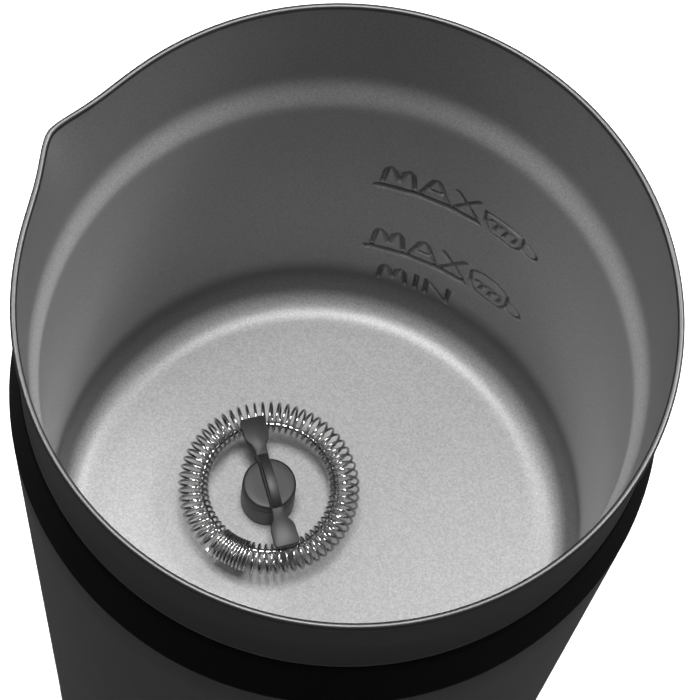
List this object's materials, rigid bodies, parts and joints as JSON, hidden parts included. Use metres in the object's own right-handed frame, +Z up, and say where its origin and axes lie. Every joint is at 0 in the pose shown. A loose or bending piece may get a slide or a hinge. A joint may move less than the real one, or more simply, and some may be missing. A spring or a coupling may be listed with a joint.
{
  "type": "milk frother",
  "caption": "Cordless milk frother: a spouted pot with a coating and level marks in a tapered housing, a magnet-driven coil whisk, a start button and a round connector base.",
  "frame": {"origin": "under the middle of the base, on the surface that its feet stand on", "axes": "+Z up along the pot's axis, the pouring spout along -X, the start button facing -Y"},
  "size_m": [0.1015, 0.0994, 0.19],
  "materials": {
    "housing_paint": "satin dark grey metallic paint",
    "pot_coating": "speckled grey non-stick coating",
    "black_plastic": "satin black",
    "whisk_plastic": "matte dark grey",
    "steel_wire": "polished stainless wire",
    "steel": "bright zinc or stainless",
    "brass": "turned",
    "aluminium": "cast",
    "rubber": "matte",
    "circuit_board": "green solder mask",
    "magnet": "nickel plated"
  },
  "bodies": {
    "base": {"base_shell": "black_plastic", "base_plate": "black_plastic", "base_connector": "black_plastic", "base_contact_ring": "brass", "base_contact_pin": "brass", "base_foot_1": "rubber", "base_foot_2": "rubber", "base_foot_3": "rubber", "base_foot_4": "rubber", "base_screw_1": "steel", "base_screw_2": "steel", "base_screw_3": "steel", "cord_gland": "rubber"},
    "coupler": {"centring_bush": "black_plastic"},
    "jug": {"inner_pot": "pot_coating", "collar_band": "black_plastic", "rim_seal": "rubber", "housing": "housing_paint", "bottom_cover": "black_plastic", "cover_screw_1": "steel", "cover_screw_2": "steel", "cover_screw_3": "steel", "plate_post_1": "steel", "plate_post_2": "steel", "plate_post_3": "steel", "jug_socket": "black_plastic", "socket_sleeve": "brass", "socket_core": "brass", "control_board": "circuit_board", "board_screw_1": "steel", "board_screw_2": "steel", "board_screw_3": "steel", "heater_relay": "black_plastic", "smoothing_capacitor": "rubber", "heater_plate": "aluminium", "heating_element": "steel", "temperature_sensor": "brass", "thermal_cutout": "black_plastic", "motor_plate": "steel", "motor_can": "steel", "motor_end_cap": "black_plastic", "whisk_pin": "steel", "button_bezel": "steel", "switch_body": "black_plastic", "switch_board": "circuit_board", "button_spring": "steel_wire"},
    "rotor": {"motor_shaft": "steel", "motor_armature": "brass", "magnet_carrier": "black_plastic", "drive_magnet_1": "magnet", "drive_magnet_2": "magnet"},
    "whisk_bearing": {"whisk_bush": "steel"},
    "whisk": {"whisk_hub": "whisk_plastic", "hub_magnet": "magnet", "whisk_frame": "whisk_plastic", "whisk_hoop": "steel_wire", "whisk_spring": "steel_wire"},
    "button": {"start_button": "black_plastic"},
    "plunger": {"switch_plunger": "whisk_plastic"}
  },
  "joints": [
    {"name": "jug_lift", "type": "slide", "parent": "base", "child": "coupler", "axis": [0, 0, 1], "range_m": [0, 0.06]},
    {"name": "jug_turn", "type": "hinge", "parent": "coupler", "child": "jug", "pos_m": [0, 0, 0.02], "axis": [0, 0, 1], "continuous": true},
    {"name": "rotor_spin", "type": "hinge", "parent": "jug", "child": "rotor", "pos_m": [-0.009, 0, 0.08], "axis": [0, 0, 1], "continuous": true},
    {"name": "whisk_lift", "type": "slide", "parent": "jug", "child": "whisk_bearing", "axis": [0, 0, 1], "range_m": [0, 0.105]},
    {"name": "whisk_spin", "type": "hinge", "parent": "whisk_bearing", "child": "whisk", "pos_m": [-0.009, 0, 0.098], "axis": [0, 0, 1], "continuous": true},
    {"name": "button_press", "type": "slide", "parent": "jug", "child": "button", "axis": [0, 1, 0], "range_m": [0, 0.001], "stiffness_N_per_m": 400, "springref_m": -0.001, "deforming": ["button_spring"]},
    {"name": "switch_travel", "type": "slide", "parent": "jug", "child": "plunger", "axis": [0, 1, 0], "range_m": [0, 0.001]}
  ],
  "couplings": [
    {"joint": "whisk_spin", "follows": "rotor_spin", "ratio": 1},
    {"joint": "switch_travel", "follows": "button_press", "ratio": 1}
  ]
}
